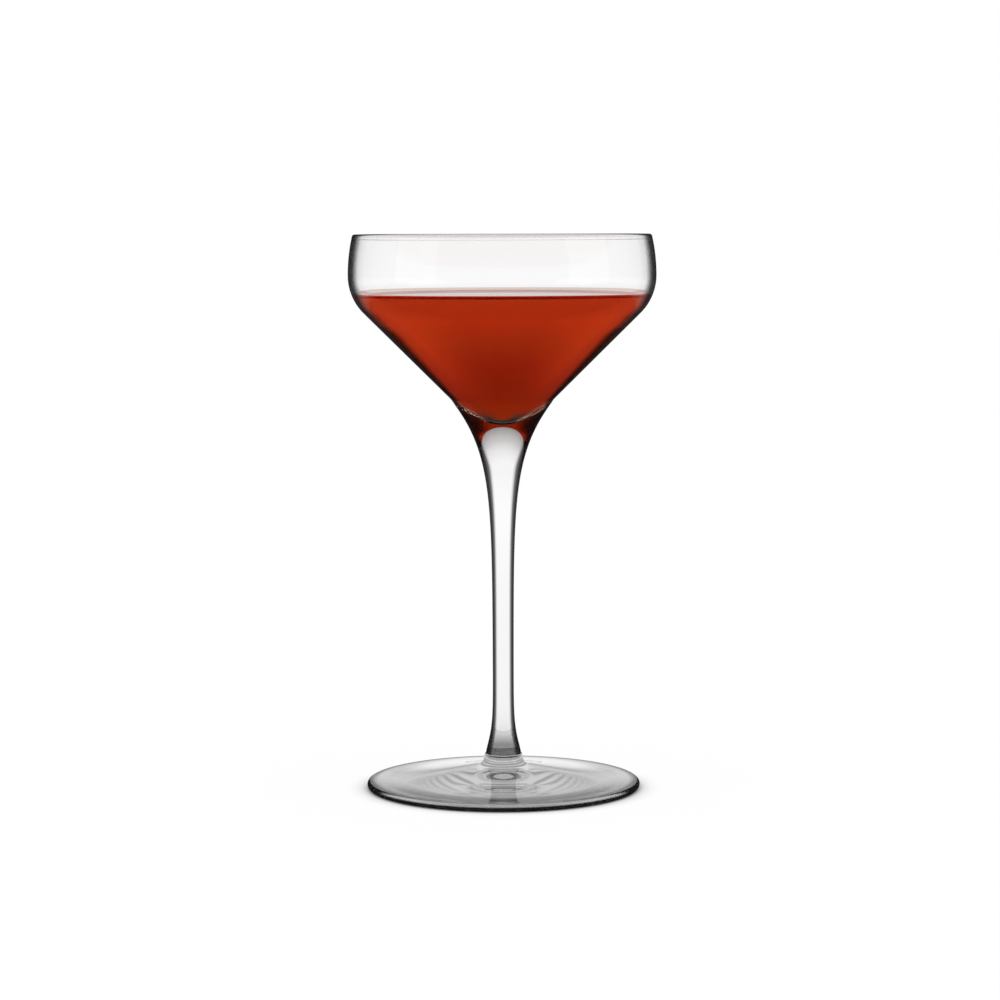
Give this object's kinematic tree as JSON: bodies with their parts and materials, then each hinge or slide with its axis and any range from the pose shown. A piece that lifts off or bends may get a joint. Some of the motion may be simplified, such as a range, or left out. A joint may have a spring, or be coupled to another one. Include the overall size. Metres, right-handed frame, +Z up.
{
  "type": "coupe glass",
  "caption": "Clear stemmed coupe glass: a wide conical bowl with a drawn-in rim on a slim flared stem and a round foot, holding a red drink.",
  "frame": {"origin": "middle of the ring that the foot stands on, on the axis of the glass", "axes": "+Z up along the axis of the glass, from the foot to the rim; the glass is round, so X and Y are free"},
  "size_m": [0.095, 0.095, 0.172],
  "materials": {
    "bowl_glass": "clear, fire-polished",
    "stem_glass": "clear, fire-polished",
    "foot_glass": "clear, fire-polished",
    "drink": "clear red liquid"
  },
  "bodies": {
    "root": {"bowl": "bowl_glass", "stem": "stem_glass", "foot": "foot_glass", "drink": "drink"}
  },
  "joints": []
}
